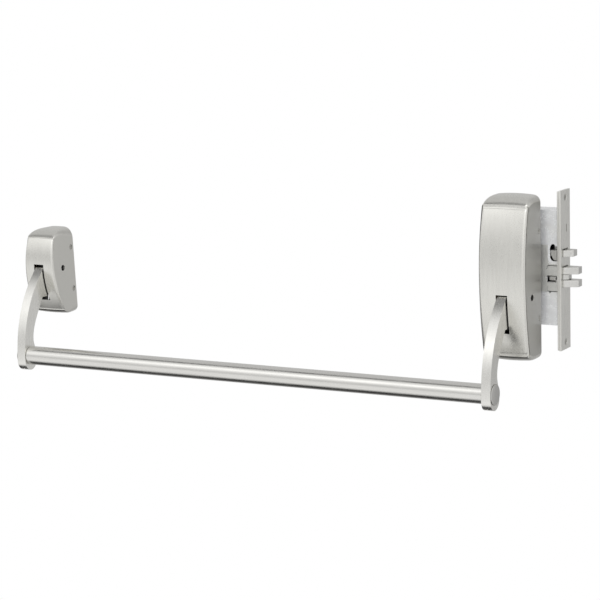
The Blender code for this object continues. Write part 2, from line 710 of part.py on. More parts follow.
def lock_plates(look, cast_look):
    """The lock case's side plate, and the raised plate in its middle."""
    low = (CASE_X[0], 9.8 * MM, CASE_Z[0])
    side = box("lock_side_plate", low, (CASE_X[1], 11.2 * MM, CASE_Z[1]), look)
    raised = box("lock_middle_plate", (-26 * MM, 8.2 * MM, -17.9 * MM), (CASE_X[1], 9.5 * MM, 41.5 * MM), cast_look)
    for made in (side, raised):
        plate_windows(made, look)
        spindle_bore(made, look)
    far = BEYOND / MM
    notch = [(far, 17.4), (41.5, 17.4), (38.6, 19.2), (37.6, 22.5), (37.6, 50), (far, 50)]
    side_hole("notch", notch, raised, look)
    knob = [(far, 20.9), (44.5, 20.9), (41.6, 22.3), (40.2, 24.8), (39.9, 28), (39.9, 37), (40.6, 39.8)]
    knob += [(42, 41.8), (43.8, 42.9), (45.6, 42.4), (46.8, 40.9), (47.6, 39.9), (far, 39.9)]
    side_hole("notch", knob, side, look)
    side_hole("nick", [(37.8, -17.5), (41.4, -17.5), (39.6, -20.6)], side, look)


def front_plate(name, x0, x1, margin, look):
    """One of the two plates on the door's edge, with its bolt openings."""
    low = FACE_MIDDLE_Z - FACE_HALF_HEIGHT + margin
    high = FACE_MIDDLE_Z + FACE_HALF_HEIGHT - margin
    made = box(name, (x0, FACE_Y[0] + margin, low), (x1, FACE_Y[1] - margin, high), look)
    cut_bolt_openings(made, look)
    return made


def face_screw_centres():
    middle = sum(FACE_Y) / 2
    return [(middle, FACE_MIDDLE_Z + side * FACE_SCREW_OFFSET) for side in (1, -1)]


def lock_fronts(look, screw_look):
    """The inner front, the faceplate over it, and its two countersunk screws."""
    inner = front_plate("inner_front", FACE_X - 5.1 * MM, FACE_X - PLATE_THICK - GAP, 0.5 * MM, look)
    outer = front_plate("faceplate", FACE_X - PLATE_THICK, FACE_X, 0, look)
    slot = box("faceplate_slot", (50 * MM, 25.4 * MM, 57 * MM), (60 * MM, 27.6 * MM, 66.5 * MM), look)
    cut(outer, slot)
    for i, centre in enumerate(face_screw_centres()):
        cone = [(0, 50), (2.5, 50), (2.5, 53.8), (4.3, 55.7), (4.3, 57), (0, 57)]
        cut(outer, turned(f"faceplate_sink_{i}", [(r * MM, x * MM) for r, x in cone], "X", centre, look))
        cut(inner, rod(f"front_bore_{i}", 2.5 * MM, "X", centre, 45 * MM, 60 * MM, look, TINY))
        profile = [(0, 51), (2.1, 51), (2.1, 53.8), (3.9, 55.6), (3.9, 55.8), (0, 55.8)]
        name = f"faceplate_screw_{i + 1}"
        made = turned(name, [(r * MM, x * MM) for r, x in profile], "X", centre, screw_look)
        arms = ((0.5 * MM, 2.4 * MM), (2.4 * MM, 0.5 * MM))
        for j, (wide, tall) in enumerate(arms):
            low = (54.7 * MM, centre[0] - wide, centre[1] - tall)
            high = (58 * MM, centre[0] + wide, centre[1] + tall)
            cut(made, box(f"{name}_cross_{j}", low, high, screw_look))


def lock_hub(look):
    """The hub that the spindle turns, with the arm that draws the latchbolt back."""
    middle = Vector((HUB_X, HUB_Z))
    made = rod("lock_hub", 8.5 * MM, "Y", middle, 11.6 * MM, 33 * MM, look, FINE)
    down = math.degrees(HUB_SWING) - 90
    reach = Vector((math.cos(math.radians(down)), math.sin(math.radians(down))))
    outline = arc(middle + HUB_REACH * reach, 3 * MM, down - 90, down + 90, 5)
    outline += arc(middle, 6 * MM, down + 90, down + 270, 5)
    join(made, extruded("hub_arm", outline, "Y", 16 * MM, 21 * MM, look))
    low = (HUB_X - SQUARE_HALF, 0, HUB_Z - SQUARE_HALF)
    cut(made, box("hub_square", low, (HUB_X + SQUARE_HALF, 40 * MM, HUB_Z + SQUARE_HALF), look))


def latchbolt(look, pin_look):
    """A two fingered bolt with its tail, and the tongue between the fingers on its pin."""
    tip = FACE_X + LATCH_THROW
    head = [(36 * MM, BOLT_FAR_Y), (36 * MM, LATCH_NEAR_Y), (FACE_X + 2 * MM, LATCH_NEAR_Y)]
    head += [(tip, 18.2 * MM), (tip, BOLT_FAR_Y)]
    made = extruded("latchbolt", head, "Z", LATCH_Z - LATCH_HALF, LATCH_Z + LATCH_HALF, look)
    tail_low = (-2 * MM, 22 * MM, LATCH_Z - 3 * MM)
    join(made, box("latch_tail", tail_low, (37 * MM, 26 * MM, LATCH_Z + 3 * MM), look))
    join(made, box("latch_lug", (2 * MM, 15.6 * MM, LATCH_Z - 3 * MM), (5 * MM, 23 * MM, 1.4 * MM), look))
    pocket = [(35, -5.8), (46.8, -5.8), (46.8, -3.6), (38.3, -3.6), (38.3, 1.2), (46.8, 1.2), (46.8, 3.1), (35, 3.1)]
    side_hole("pocket", pocket, made, look)
    low = (46.6 * MM, 0, LATCH_Z - FINGER_GAP_HALF)
    cut(made, box("finger_gap", low, (90 * MM, 50 * MM, LATCH_Z + FINGER_GAP_HALF), look))
    pin = TONGUE_PIN
    bore = TONGUE_PIN_RADIUS + GAP
    cut(made, rod("tongue_pin_bore", bore, "Z", pin, LATCH_Z - 20 * MM, LATCH_Z + 20 * MM, look, TINY))
    rod("tongue_pin", TONGUE_PIN_RADIUS, "Z", pin, LATCH_Z - 11 * MM, LATCH_Z + 11 * MM, pin_look, TINY)
    tongue = [(52, 28.2), (48.6, 25), (49, 14.5), (51, 13), (57, 12.5), (62.6, 16.2), (62.6, 26.8), (60.6, 28.2)]
    half = FINGER_GAP_HALF - 0.5 * MM
    outline = [(x * MM, y * MM) for x, y in tongue]
    made = extruded("anti_friction_tongue", outline, "Z", LATCH_Z - half, LATCH_Z + half, look)
    cut(made, rod("tongue_bore", bore, "Z", pin, LATCH_Z - 20 * MM, LATCH_Z + 20 * MM, look, TINY))


def auxiliary_bolt(look):
    """A small bevelled bolt with a round boss, a spring lug, and a tail whose pin works the deadlock lever."""
    tip = FACE_X + AUX_THROW
    outline = [(29.5 * MM, BOLT_FAR_Y), (29.5 * MM, AUX_NEAR_Y), (FACE_X + 1.5 * MM, AUX_NEAR_Y)]
    outline += [(tip, 17.8 * MM), (tip, BOLT_FAR_Y)]
    made = extruded("auxiliary_bolt", outline, "Z", AUX_Z - AUX_HALF, AUX_Z + AUX_HALF, look)
    boss = arc(*AUX_BOSS, 90, 270, 12)
    join(made, extruded("aux_boss", boss, "Y", 11.6 * MM, 15 * MM, look))
    join(made, box("aux_lug", (42 * MM, 20 * MM, 34 * MM), (45 * MM, 28 * MM, 44 * MM), look))
    pin_x = LEVER_PIVOT[0] + AUX_THROW / 2
    tail_low = (pin_x - 3 * MM, 22 * MM, AUX_Z - 2.6 * MM)
    join(made, box("aux_tail", tail_low, (31 * MM, 26 * MM, AUX_Z + 2.6 * MM), look))
    join(made, rod("aux_pin", 1.4 * MM, "Y", (pin_x, AUX_Z), 14.6 * MM, 23 * MM, look, TINY))


def deadlock_lever(look, pin_look):
    """A lever whose fork follows the auxiliary bolt's pin, and the post it turns on."""
    rise = AUX_Z - LEVER_PIVOT[1]
    lean = math.atan((AUX_THROW / 2) / rise)
    along = Vector((math.sin(lean), math.cos(lean)))
    across = Vector((along[1], -along[0]))
    half = 3.8 * MM
    slot = 1.75 * MM
    bottom = 11.4 * MM
    top = 18.2 * MM
    local = [(-half, 0), (-half, top), (-slot, top), (-slot, bottom), (slot, bottom), (slot, top), (half, top)]
    outline = [LEVER_PIVOT + across * a + along * b for a, b in [*local, (half, 0)]]
    first = math.degrees(math.atan2(across[1], across[0]))
    outline += arc(LEVER_PIVOT, half, first, first - 180, 8)[1:-1]
    made = extruded("deadlock_lever", outline, "Y", 15 * MM, 18 * MM, look)
    cut(made, rod("lever_bore", 2.1 * MM, "Y", LEVER_PIVOT, 0, 40 * MM, look, TINY))
    rod("deadlock_post", 1.8 * MM, "Y", LEVER_PIVOT, 12 * MM, 33.1 * MM, pin_look, TINY)


def compression_spring(name, x0, x1, y, z, look):
    steps = 80
    path = []
    for i in range(steps + 1):
        turn = 2 * math.pi * i / 10
        along = mix(x0 + SPRING_WIRE, x1 - SPRING_WIRE, i / steps)
        path.append(Vector((along, y + SPRING_COIL * math.cos(turn), z + SPRING_COIL * math.sin(turn))))
    wire(name, path, SPRING_WIRE, look, sides=5)


# ---------------------------------------------------------------- the whole device
def build():
    satin = material("satin_stainless", (0.62, 0.61, 0.58), 0.34, 1)
    polished = material("brushed_bar", (0.66, 0.65, 0.63), 0.24, 1)
    zinc = material("zinc_plate", (0.74, 0.77, 0.82), 0.2, 1)
    cast = material("cast_steel", (0.5, 0.5, 0.48), 0.48, 1)
    bolt = material("sintered_bolt", (0.55, 0.54, 0.52), 0.42, 1)
    plain = material("pressed_steel", (0.45, 0.45, 0.46), 0.4, 1)
    dark = material("black_oxide", (0.05, 0.05, 0.05), 0.45, 1)
    bronze = material("bronze_bush", (0.55, 0.4, 0.22), 0.4, 1)

    active_screws = (61 * MM, -50 * MM)
    cover("active", ACTIVE, -15 * MM, active_screws, satin)
    bolts = [(x * MM, z * MM) for x in (-17, 17) for z in (-90, 90)]
    made = chassis("active", ACTIVE, 29.2 * MM, -98.5 * MM, 101 * MM, active_screws, bolts, plain)
    spindle_bore(made, plain)
    idle_screws = (6 * MM, -52 * MM)
    cover("idle", IDLE, -13 * MM, idle_screws, satin)
    bolts = [(0, 17 * MM), (0, -75 * MM)]
    chassis("idle", IDLE, 19.8 * MM, -82.4 * MM, 25 * MM, idle_screws, bolts, plain)

    for prefix, x, side in (("active", 0, 1), ("idle", -ARM_SPACING, -1)):
        pivot(prefix, x, plain, bronze)
        return_spring(prefix, x, dark)
        arm(prefix, x, prefix == "active", satin, dark)
        end_plug(prefix, x, side, satin)
    crossbar(polished)

    lift_slide(plain)
    slide_keeper(plain)
    drive_crank(cast)
    drive_spindle(plain)

    lock_case(zinc)
    lock_plates(zinc, cast)
    lock_fronts(satin, satin)
    lock_hub(bolt)
    latchbolt(bolt, dark)
    auxiliary_bolt(bolt)
    deadlock_lever(plain, dark)
    compression_spring("latch_spring", 6.3 * MM, 35.7 * MM, 28 * MM, -7.6 * MM, dark)
    compression_spring("auxiliary_spring", 13.3 * MM, 41.7 * MM, 24 * MM, 40.3 * MM, dark)


for leftover in list(bpy.data.objects):
    bpy.data.objects.remove(leftover)
build()
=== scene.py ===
"""Looks of the crossbar panic exit device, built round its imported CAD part.

Metres, +Z up. +X runs along the crossbar to the lock edge of the door, and the door's face is the
plane Y = 0.
"""

import json
import math

import bmesh
import bpy
from mathutils import Matrix, Vector

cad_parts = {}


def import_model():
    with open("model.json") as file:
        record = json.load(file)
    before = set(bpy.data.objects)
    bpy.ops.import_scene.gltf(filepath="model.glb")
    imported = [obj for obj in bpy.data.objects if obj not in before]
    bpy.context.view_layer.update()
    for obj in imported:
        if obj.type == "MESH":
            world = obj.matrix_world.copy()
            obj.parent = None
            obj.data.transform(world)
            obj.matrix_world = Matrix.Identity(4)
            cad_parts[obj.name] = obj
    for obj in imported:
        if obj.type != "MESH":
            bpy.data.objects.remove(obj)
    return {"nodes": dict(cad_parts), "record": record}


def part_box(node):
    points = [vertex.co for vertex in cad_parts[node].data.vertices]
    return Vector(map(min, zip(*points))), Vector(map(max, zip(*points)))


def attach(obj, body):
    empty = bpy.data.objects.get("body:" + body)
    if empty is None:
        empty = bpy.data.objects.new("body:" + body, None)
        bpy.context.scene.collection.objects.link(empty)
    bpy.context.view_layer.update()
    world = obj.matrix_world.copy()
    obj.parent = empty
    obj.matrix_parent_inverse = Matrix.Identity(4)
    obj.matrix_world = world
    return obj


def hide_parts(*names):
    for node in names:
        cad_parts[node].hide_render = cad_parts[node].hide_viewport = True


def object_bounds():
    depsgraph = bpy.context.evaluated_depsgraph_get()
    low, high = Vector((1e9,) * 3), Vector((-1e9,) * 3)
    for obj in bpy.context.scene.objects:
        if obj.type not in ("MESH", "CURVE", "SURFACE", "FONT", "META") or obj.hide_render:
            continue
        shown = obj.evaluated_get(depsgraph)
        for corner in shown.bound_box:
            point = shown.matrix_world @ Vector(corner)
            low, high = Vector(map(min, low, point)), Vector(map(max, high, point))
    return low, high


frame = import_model()
CAD_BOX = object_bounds()

MM = 0.001

# ---------------------------------------------------------------- dimensions shared with the CAD part
ARM_SPACING = 693 * MM
PIVOT = Vector((-29 * MM, -20 * MM))  # as (Y, Z), like the places below
BAR_AXIS = Vector((-91 * MM, -133 * MM))
BAR_RADIUS = 12.7 * MM
BAR_WALL = 1.65 * MM
ARM_HALF = 6.35 * MM
HUB_RADIUS = 12 * MM
PIVOT_BORE = 4.3 * MM
BOSS_RADIUS = 14 * MM
BOSS_DROP = 6.4 * MM
PLUG_RADIUS = 10.7 * MM
ARM_FRONT_TOP = Vector((-50 * MM, -16.5 * MM))
ARM_BACK_TOP = Vector((-56.1 * MM, -57.5 * MM))
ARM_INNER = Vector((-44 * MM, -58.2 * MM))
ARM_WAIST = Vector((-82.8 * MM, -112 * MM))
NOSE_REACH = 19.5 * MM
NOSE_RADIUS = 3 * MM
BAR_TURN = 14  # degrees
GAP = 0.3 * MM
COVER_WALL = 2 * MM
BACK_LIP = 0.9 * MM  # how far the covers' back edges are turned in
SLOT_HALF = 7.7 * MM
SLOT_BOTTOM = -64.6 * MM
SLOT_DEPTHS = (-60 * MM, -30 * MM)  # Y of the slot cutter's ends
PIVOT_ACCESS_RADIUS = 4.1 * MM
PIVOT_ACCESS_START = 16 * MM  # from the case's middle
SCREW_BORE = 3.5 * MM
SCREW_LINE = -6.5 * MM  # Y of the cover screws
SET_SCREW_BORE = 3.3 * MM
SET_SCREW_DIRECTION = Vector((0, -0.457, -0.889)).normalized()
SET_SCREW_START = 6 * MM
SET_SCREW_DEPTH = 24 * MM
# The hollow inside the lock, as its low and high corners; the zinc inside it gets painted shade
LOCK_HOLLOW = (Vector((-39 * MM, 11.25 * MM, -60 * MM)), Vector((49.6 * MM, 34 * MM, 85 * MM)))

# ---------------------------------------------------------------- fineness of the new meshes
CORNER_STEPS = 8
ACROSS = 22
UP_STEP = 3.4 * MM
SIDE_ROWS = 16
FOLD_STEPS = 8
ROUND = 96
CUTTER_ROUND = 48
SMOOTH_ANGLE = math.radians(30)


# ---------------------------------------------------------------- shader graphs
class Graph:
    """A material's nodes, with short ways to add and join them."""

    def __init__(self, name):
        self.material = bpy.data.materials.new(name)
        self.material.use_nodes = True
        self.tree = self.material.node_tree
        self.shader = self.tree.nodes["Principled BSDF"]

    def add(self, kind, inputs=(), **settings):
        node = self.tree.nodes.new("ShaderNode" + kind)
        for key, value in settings.items():
            setattr(node, key, value)
        for key, value in dict(inputs).items():
            self.put(node.inputs[key], value)
        return node

    def put(self, socket, value):
        if isinstance(value, bpy.types.NodeSocket):
            self.tree.links.new(value, socket)
        else:
            socket.default_value = value

    def math(self, operation, *values):
        return self.add("Math", enumerate(values), operation=operation).outputs[0]

    def spread(self, value, low, high, to_low, to_high):
        """The value moved from one range to another, and kept inside it."""
        settings = {"From Min": low, "From Max": high, "To Min": to_low, "To Max": to_high}
        return self.add("MapRange", {"Value": value, **settings}).outputs["Result"]

    def tint(self, share, first, second):
        node = self.add("Mix", data_type="RGBA")
        self.put(node.inputs[0], share)
        self.put(node.inputs[6], (*first, 1))
        second = second if isinstance(second, bpy.types.NodeSocket) else (*second, 1)
        self.put(node.inputs[7], second)
        return node.outputs[2]

    def over(self, share, under, colour):
        """One colour socket with a flat colour laid over it."""
        node = self.add("Mix", data_type="RGBA")
        self.put(node.inputs[0], share)
        self.put(node.inputs[6], under)
        self.put(node.inputs[7], (*colour, 1))
        return node.outputs[2]

    def noise(self, scale, detail=3, stretch=(1, 1, 1), roughness=0.5):
        """Noise in the piece's own coordinates, with a cell's size of 1 / scale metres."""
        place = self.add("TexCoord").outputs["Object"]
        mapped = self.add("Mapping", {"Vector": place, "Scale": stretch}).outputs[0]
        settings = {"Vector": mapped, "Scale": scale, "Detail": detail, "Roughness": roughness}
        return self.add("TexNoise", settings).outputs["Fac"]

    def edges(self, radius):
        """High along outer edges, where handling and tumbling polish the metal."""
        rounded = self.add("Bevel", {"Radius": radius}, samples=4).outputs[0]
        straight = self.add("NewGeometry").outputs["Normal"]
        facing = self.add("VectorMath", {0: rounded, 1: straight}, operation="DOT_PRODUCT").outputs["Value"]
        return self.spread(facing, 0.995, 0.86, 0, 1)

    def sides(self):
        """High on faces that look along X; it marks where side shade is painted."""
        parts = self.add("SeparateXYZ", {0: self.add("TexCoord").outputs["Normal"]})
        return self.spread(self.math("ABSOLUTE", parts.outputs["X"]), 0.975, 0.997, 0, 1)

    def inside(self, low, high):
        """High inside a box in world coordinates, so right only while the part stands in its own frame."""
        middle = (low + high) / 2
        place = self.add("NewGeometry").outputs["Position"]
        away = self.add("VectorMath", {0: place, 1: middle}, operation="SUBTRACT").outputs[0]
        share = self.add("VectorMath", {0: away, 1: (high - low) / 2}, operation="DIVIDE").outputs[0]
        size = self.add("VectorMath", {0: share}, operation="ABSOLUTE").outputs[0]
        parts = self.add("SeparateXYZ", {0: size})
        most = self.math("MAXIMUM", parts.outputs["X"], parts.outputs["Y"])
        return self.math("LESS_THAN", self.math("MAXIMUM", most, parts.outputs["Z"]), 1)

    def finish(self, colour, roughness, height, strength, distance, metallic=1.0):
        bump = self.add("Bump", {"Strength": strength, "Distance": distance, "Height": height})
        self.put(self.shader.inputs["Base Color"], colour)
        self.put(self.shader.inputs["Roughness"], roughness)
        self.put(self.shader.inputs["Metallic"], metallic)
        self.put(self.shader.inputs["Normal"], bump.outputs[0])
        return self.material


def brushed(name, along, colour, roughness, streaks=1.0, painted_side_shade=1.0):
    """Satin stainless, brushed along one axis: streaks, broad faint bands, smudges and polished edges.

    Below 1, the side tone paints shade into the colour of the faces that look along X, and makes them
    rougher.
    """
    graph = Graph(name)
    fine_stretch = [1, 1, 1]
    fine_stretch["XYZ".index(along)] = 0.012
    broad_stretch = [1, 1, 1]
    broad_stretch["XYZ".index(along)] = 0.06
    fine = graph.noise(2600, 2, fine_stretch)
    broad = graph.noise(260, 3, broad_stretch)
    cloud = graph.noise(28, 3)
    light = tuple(min(1, c * 1.05) for c in colour)
    dark = tuple(c * 0.93 for c in colour)
    grain = graph.math("ADD", graph.math("MULTIPLY", fine, 0.55), graph.math("MULTIPLY", broad, 0.45))
    tone = graph.tint(graph.spread(grain, 0.3, 0.7, 0, 1), dark, light)
    worn = graph.edges(0.5 * MM)
    tone = graph.over(graph.math("MULTIPLY", worn, 0.45), tone, tuple(min(1, c * 1.12) for c in colour))
    # Painted shade: faces that look along X are darkened for how the studio light falls on them
    if painted_side_shade < 1:
        side_shade_colour = tuple(c * painted_side_shade for c in colour)
        tone = graph.over(graph.math("MULTIPLY", graph.sides(), 0.9), tone, side_shade_colour)
    rough = graph.math("ADD", graph.spread(fine, 0.25, 0.75, roughness - 0.05, roughness + 0.05),
                       graph.spread(cloud, 0.3, 0.7, -0.03, 0.03))
    rough = graph.math("SUBTRACT", rough, graph.math("MULTIPLY", worn, 0.08))
    if painted_side_shade < 1:
        rough = graph.math("ADD", rough, graph.math("MULTIPLY", graph.sides(), 0.12))
    return graph.finish(tone, rough, fine, 0.22 * streaks, 0.03 * MM)


def zinc(name, colour):
    """Bright zinc plate: faintly mottled, with straw patches, and painted shade inside the lock, darkened
    almost to black.
    """
    graph = Graph(name)
    patch = graph.noise(85, 4, roughness=0.6)
    speck = graph.noise(900, 3)
    tone = graph.tint(graph.spread(patch, 0.35, 0.65, 0, 1), tuple(c * 0.9 for c in colour), colour)
    straw = (colour[0], colour[1] * 0.97, colour[2] * 0.88)
    tone = graph.over(graph.spread(graph.noise(40, 2), 0.5, 0.75, 0, 0.35), tone, straw)
    worn = graph.edges(0.5 * MM)
    tone = graph.over(graph.math("MULTIPLY", worn, 0.5), tone, (0.93, 0.94, 0.95))
    rough = graph.math("ADD", graph.spread(patch, 0.3, 0.7, 0.2, 0.3),
                       graph.spread(speck, 0.3, 0.7, -0.03, 0.03))
    # Painted shade: the faces inside the lock's hollow are darkened almost to black
    tone = graph.over(graph.math("MULTIPLY", graph.inside(*LOCK_HOLLOW), 0.96), tone, (0.05, 0.05, 0.05))
    return graph.finish(tone, rough, patch, 0.08, 0.12 * MM, 0.3)


def grainy(name, colour, roughness, grain_scale, depth, metallic=1.0):
    """Sintered or cast steel: a fine grain of small pits that darken it, and edges rubbed bright."""
    graph = Graph(name)
    grain = graph.noise(grain_scale, 5, roughness=0.65)
    pits = graph.spread(graph.noise(grain_scale * 0.6, 3), 0.34, 0.46, 1, 0)
    cloud = graph.noise(60, 3)
    tone = graph.tint(graph.spread(cloud, 0.3, 0.7, 0, 1), tuple(c * 0.88 for c in colour), colour)
    tone = graph.over(graph.math("MULTIPLY", pits, 0.45), tone, tuple(c * 0.35 for c in colour))
    worn = graph.edges(0.6 * MM)
    tone = graph.over(graph.math("MULTIPLY", worn, 0.55), tone, tuple(min(1, c * 1.35) for c in colour))
    rough = graph.math("ADD", graph.spread(grain, 0.3, 0.7, roughness - 0.07, roughness + 0.07),
                       graph.math("MULTIPLY", pits, 0.12))
    height = graph.math("SUBTRACT", grain, graph.math("MULTIPLY", pits, 0.6))
    return graph.finish(tone, rough, height, 0.55, depth, metallic)


def turned_face(name, colour, roughness):
    """A face turned on a lathe about the crossbar's axis: fine rings round its centre."""
    graph = Graph(name)
    place = graph.add("TexCoord").outputs["Object"]
    parts = graph.add("SeparateXYZ", {0: place})
    y = graph.math("SUBTRACT", parts.outputs["Y"], BAR_AXIS[0])
    z = graph.math("SUBTRACT", parts.outputs["Z"], BAR_AXIS[1])
    radius = graph.math("SQRT", graph.math("ADD", graph.math("MULTIPLY", y, y), graph.math("MULTIPLY", z, z)))
    across = graph.add("CombineXYZ", {"X": radius}).outputs[0]
    rings = graph.add("TexNoise", {"Vector": across, "Scale": 1800.0, "Detail": 2.0}).outputs["Fac"]
    cloud = graph.noise(45, 3)
    tone = graph.tint(graph.spread(rings, 0.3, 0.7, 0, 1), tuple(c * 0.9 for c in colour), colour)
    worn = graph.edges(0.5 * MM)
    tone = graph.over(graph.math("MULTIPLY", worn, 0.6), tone, tuple(min(1, c * 1.25) for c in colour))
    rough = graph.math("ADD", graph.spread(rings, 0.3, 0.7, roughness - 0.05, roughness + 0.05),
                       graph.spread(cloud, 0.3, 0.7, -0.03, 0.03))
    return graph.finish(tone, rough, rings, 0.25, 0.03 * MM)


def coated(name, colour, roughness, metallic):
    """Black oxide or plain bronze: an even coat with a fine grain, rubbed through along its edges."""
    graph = Graph(name)
    grain = graph.noise(1400, 4)
    cloud = graph.noise(120, 3)
    tone = graph.tint(graph.spread(cloud, 0.3, 0.7, 0, 1), tuple(c * 0.75 for c in colour), colour)
    worn = graph.edges(0.35 * MM)
    tone = graph.over(graph.math("MULTIPLY", worn, 0.5), tone, tuple(min(1, c * 2.2) for c in colour))
    rough = graph.spread(grain, 0.3, 0.7, roughness - 0.06, roughness + 0.06)
    return graph.finish(tone, rough, grain, 0.3, 0.03 * MM, metallic)


LOOKS = {
    # The upright covers' faces that look along X carry painted side shade
    "satin_stainless": brushed("satin_upright_side_shade", "Z", (0.70, 0.692, 0.655), 0.29, painted_side_shade=0.64),
    "brushed_bar": brushed("brushed_lengthwise", "X", (0.72, 0.712, 0.685), 0.24, 0.7),
    "zinc_plate": zinc("bright_zinc", (0.95, 0.96, 0.975)),
    "cast_steel": grainy("grainy_steel", (0.72, 0.72, 0.69), 0.45, 2600, 0.12 * MM, 0.6),
    "sintered_bolt": grainy("sintered_stainless", (0.70, 0.695, 0.67), 0.36, 3200, 0.07 * MM),
    "pressed_steel": brushed("pressed_steel", "Z", (0.60, 0.60, 0.60), 0.4, 0.5),
    "black_oxide": coated("black_oxide", (0.045, 0.045, 0.047), 0.45, 1.0),
    "bronze_bush": coated("sintered_bronze", (0.5, 0.33, 0.16), 0.42, 1.0),
}
# The same satin with less painted side shade, for the idle cover
IDLE_LOOK = brushed("satin_idle_side_shade", "Z", (0.70, 0.692, 0.655), 0.29, painted_side_shade=0.85)
FACE_LOOK = brushed("satin_face", "Z", (0.79, 0.782, 0.745), 0.3)
# Painted shade: the covers' inside faces are nearly black, for the shaded hollow behind the slots
INSIDE_SHADE_LOOK = brushed("satin_inside_shade", "Z", (0.09, 0.09, 0.085), 0.5, 0.5)
ARM_LOOK = brushed("satin_arm", "Z", (0.78, 0.772, 0.74), 0.26)
END_LOOK = turned_face("turned_end", (0.55, 0.545, 0.525), 0.36)


# ---------------------------------------------------------------- meshes
def piece_from(name, bm, look):
    """The bmesh as a piece with its faces pointing out."""
    bmesh.ops.recalc_face_normals(bm, faces=bm.faces)
    if bm.calc_volume(signed=True) < 0:
        bmesh.ops.reverse_faces(bm, faces=bm.faces)
    mesh = bpy.data.meshes.new(name)
    bm.to_mesh(mesh)
    bm.free()
    mesh.shade_smooth()
    mesh.set_sharp_from_angle(angle=SMOOTH_ANGLE)
    mesh.materials.append(look)
    made = bpy.data.objects.new(name, mesh)
    bpy.context.scene.collection.objects.link(made)
    return made


def carry(made, body, node):
    """Lets a piece ride on a body, in place of its CAD node."""
    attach(made, body)
    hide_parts(node)


def place(axis, first, second, along):
    """A point from its two coordinates across an axis, in X, Y, Z order, and one along it."""
    point = [first, second]
    point.insert("XYZ".index(axis), along)
    return Vector(point)


def prism(outline, axis, low, high):
    bm = bmesh.new()
    bottom = [bm.verts.new(place(axis, a, b, low)) for a, b in outline]
    top = [bm.verts.new(place(axis, a, b, high)) for a, b in outline]
    bm.faces.new(bottom)
    bm.faces.new(top)
    for i in range(len(outline)):
        j = (i + 1) % len(outline)
        bm.faces.new((bottom[i], bottom[j], top[j], top[i]))
    return bm


def ring_of_rows(profile, axis, centre, sides=ROUND, closed=False):
    """A turned mesh from (radius, place along the axis) points."""
    bm = bmesh.new()
    rows = []
    for radius, along in profile:
        if radius == 0:
            rows.append([bm.verts.new(place(axis, *centre, along))])
            continue
        row = []
        for i in range(sides):
            turn = 2 * math.pi * i / sides
            first = centre[0] + radius * math.cos(turn)
            second = centre[1] + radius * math.sin(turn)
            row.append(bm.verts.new(place(axis, first, second, along)))
        rows.append(row)
    pairs = list(zip(rows, rows[1:]))
    if closed:
        pairs.append((rows[-1], rows[0]))
    for one, two in pairs:
        for i in range(sides):
            j = (i + 1) % sides
            corners = [one[i % len(one)], one[j % len(one)], two[j % len(two)], two[i % len(two)]]
            bm.faces.new(list(dict.fromkeys(corners)))
    return bm


def round_cutter(radius, axis, centre, low, high, sides=CUTTER_ROUND):
    profile = [(0, low), (radius, low), (radius, high), (0, high)]
    return ring_of_rows(profile, axis, centre, sides)


def carve(target, *cutters):
    """Cuts bmeshes out of a piece and keeps the result as its mesh."""
    for bm in cutters:
        bmesh.ops.recalc_face_normals(bm, faces=bm.faces)
        if bm.calc_volume(signed=True) < 0:
            bmesh.ops.reverse_faces(bm, faces=bm.faces)
        mesh = bpy.data.meshes.new("cutter")
        bm.to_mesh(mesh)
        bm.free()
        cutter = bpy.data.objects.new("cutter", mesh)
        bpy.context.scene.collection.objects.link(cutter)
        modifier = target.modifiers.new("cut", "BOOLEAN")
        modifier.operation = "DIFFERENCE"
        modifier.object = cutter
        bpy.context.view_layer.update()
        graph = bpy.context.evaluated_depsgraph_get()
        result = bpy.data.meshes.new_from_object(target.evaluated_get(graph))
        target.modifiers.clear()
        target.data = result
        bpy.data.objects.remove(cutter)


def ease_edges(target, width, segments=2, angle=38):
    bevel = target.modifiers.new("eased_edges", "BEVEL")
    bevel.width = width
    bevel.segments = segments
    bevel.limit_method = "ANGLE"
    bevel.angle_limit = math.radians(angle)


def box_mesh(low, high):
    bm = bmesh.new()
    size = Vector(high) - Vector(low)
    middle = (Vector(high) + Vector(low)) / 2
    placed = Matrix.Translation(middle) @ Matrix.Diagonal((*size, 1))
    bmesh.ops.create_cube(bm, size=1, matrix=placed)
    return bm


def bezier(start, start_pull, end_pull, end, steps):
    """Points along a cubic curve, without its last one."""
    points = []
    for i in range(steps):
        t = i / steps
        u = 1 - t
        points.append(u**3 * start + 3 * u * u * t * start_pull + 3 * u * t * t * end_pull + t**3 * end)
    return points


def arc(centre, radius, start, end, steps):
    """Points along an arc between two angles in degrees, both ends included."""
    turns = [math.radians(start + (end - start) * i / steps) for i in range(steps + 1)]
    return [Vector((centre[0] + radius * math.cos(t), centre[1] + radius * math.sin(t))) for t in turns]


def mix(first, second, share):
    return first + (second - first) * share


def beyond(value, limit):
    """How far a value is outside -limit to limit, with its sign."""
    return math.copysign(max(abs(value) - limit, 0), value)


# ---------------------------------------------------------------- case covers
def rounded_rectangle(low, high, bottom_radius, top_radius):
    corners = (
        ((high[0] - top_radius, high[1] - top_radius), top_radius, 0),
        ((low[0] + top_radius, high[1] - top_radius), top_radius, 90),
        ((low[0] + bottom_radius, low[1] + bottom_radius), bottom_radius, 180),
        ((high[0] - bottom_radius, low[1] + bottom_radius), bottom_radius, 270),
    )
    points = []
    for centre, radius, start in corners:
        points += arc(centre, radius, start, start + 90, CORNER_STEPS)
    return points


def subdivided(outline, across, up):
    """A rounded rectangle's outline with its straight stretches cut into parts."""
    corner_points = len(outline) // 4
    points = []
    for i, point in enumerate(outline):
        after = outline[(i + 1) % len(outline)]
        corner, within = divmod(i + 1, corner_points)
        parts = 1 if within else (across if corner % 2 else up)
        points += [point.lerp(after, k / parts) for k in range(parts)]
    return points


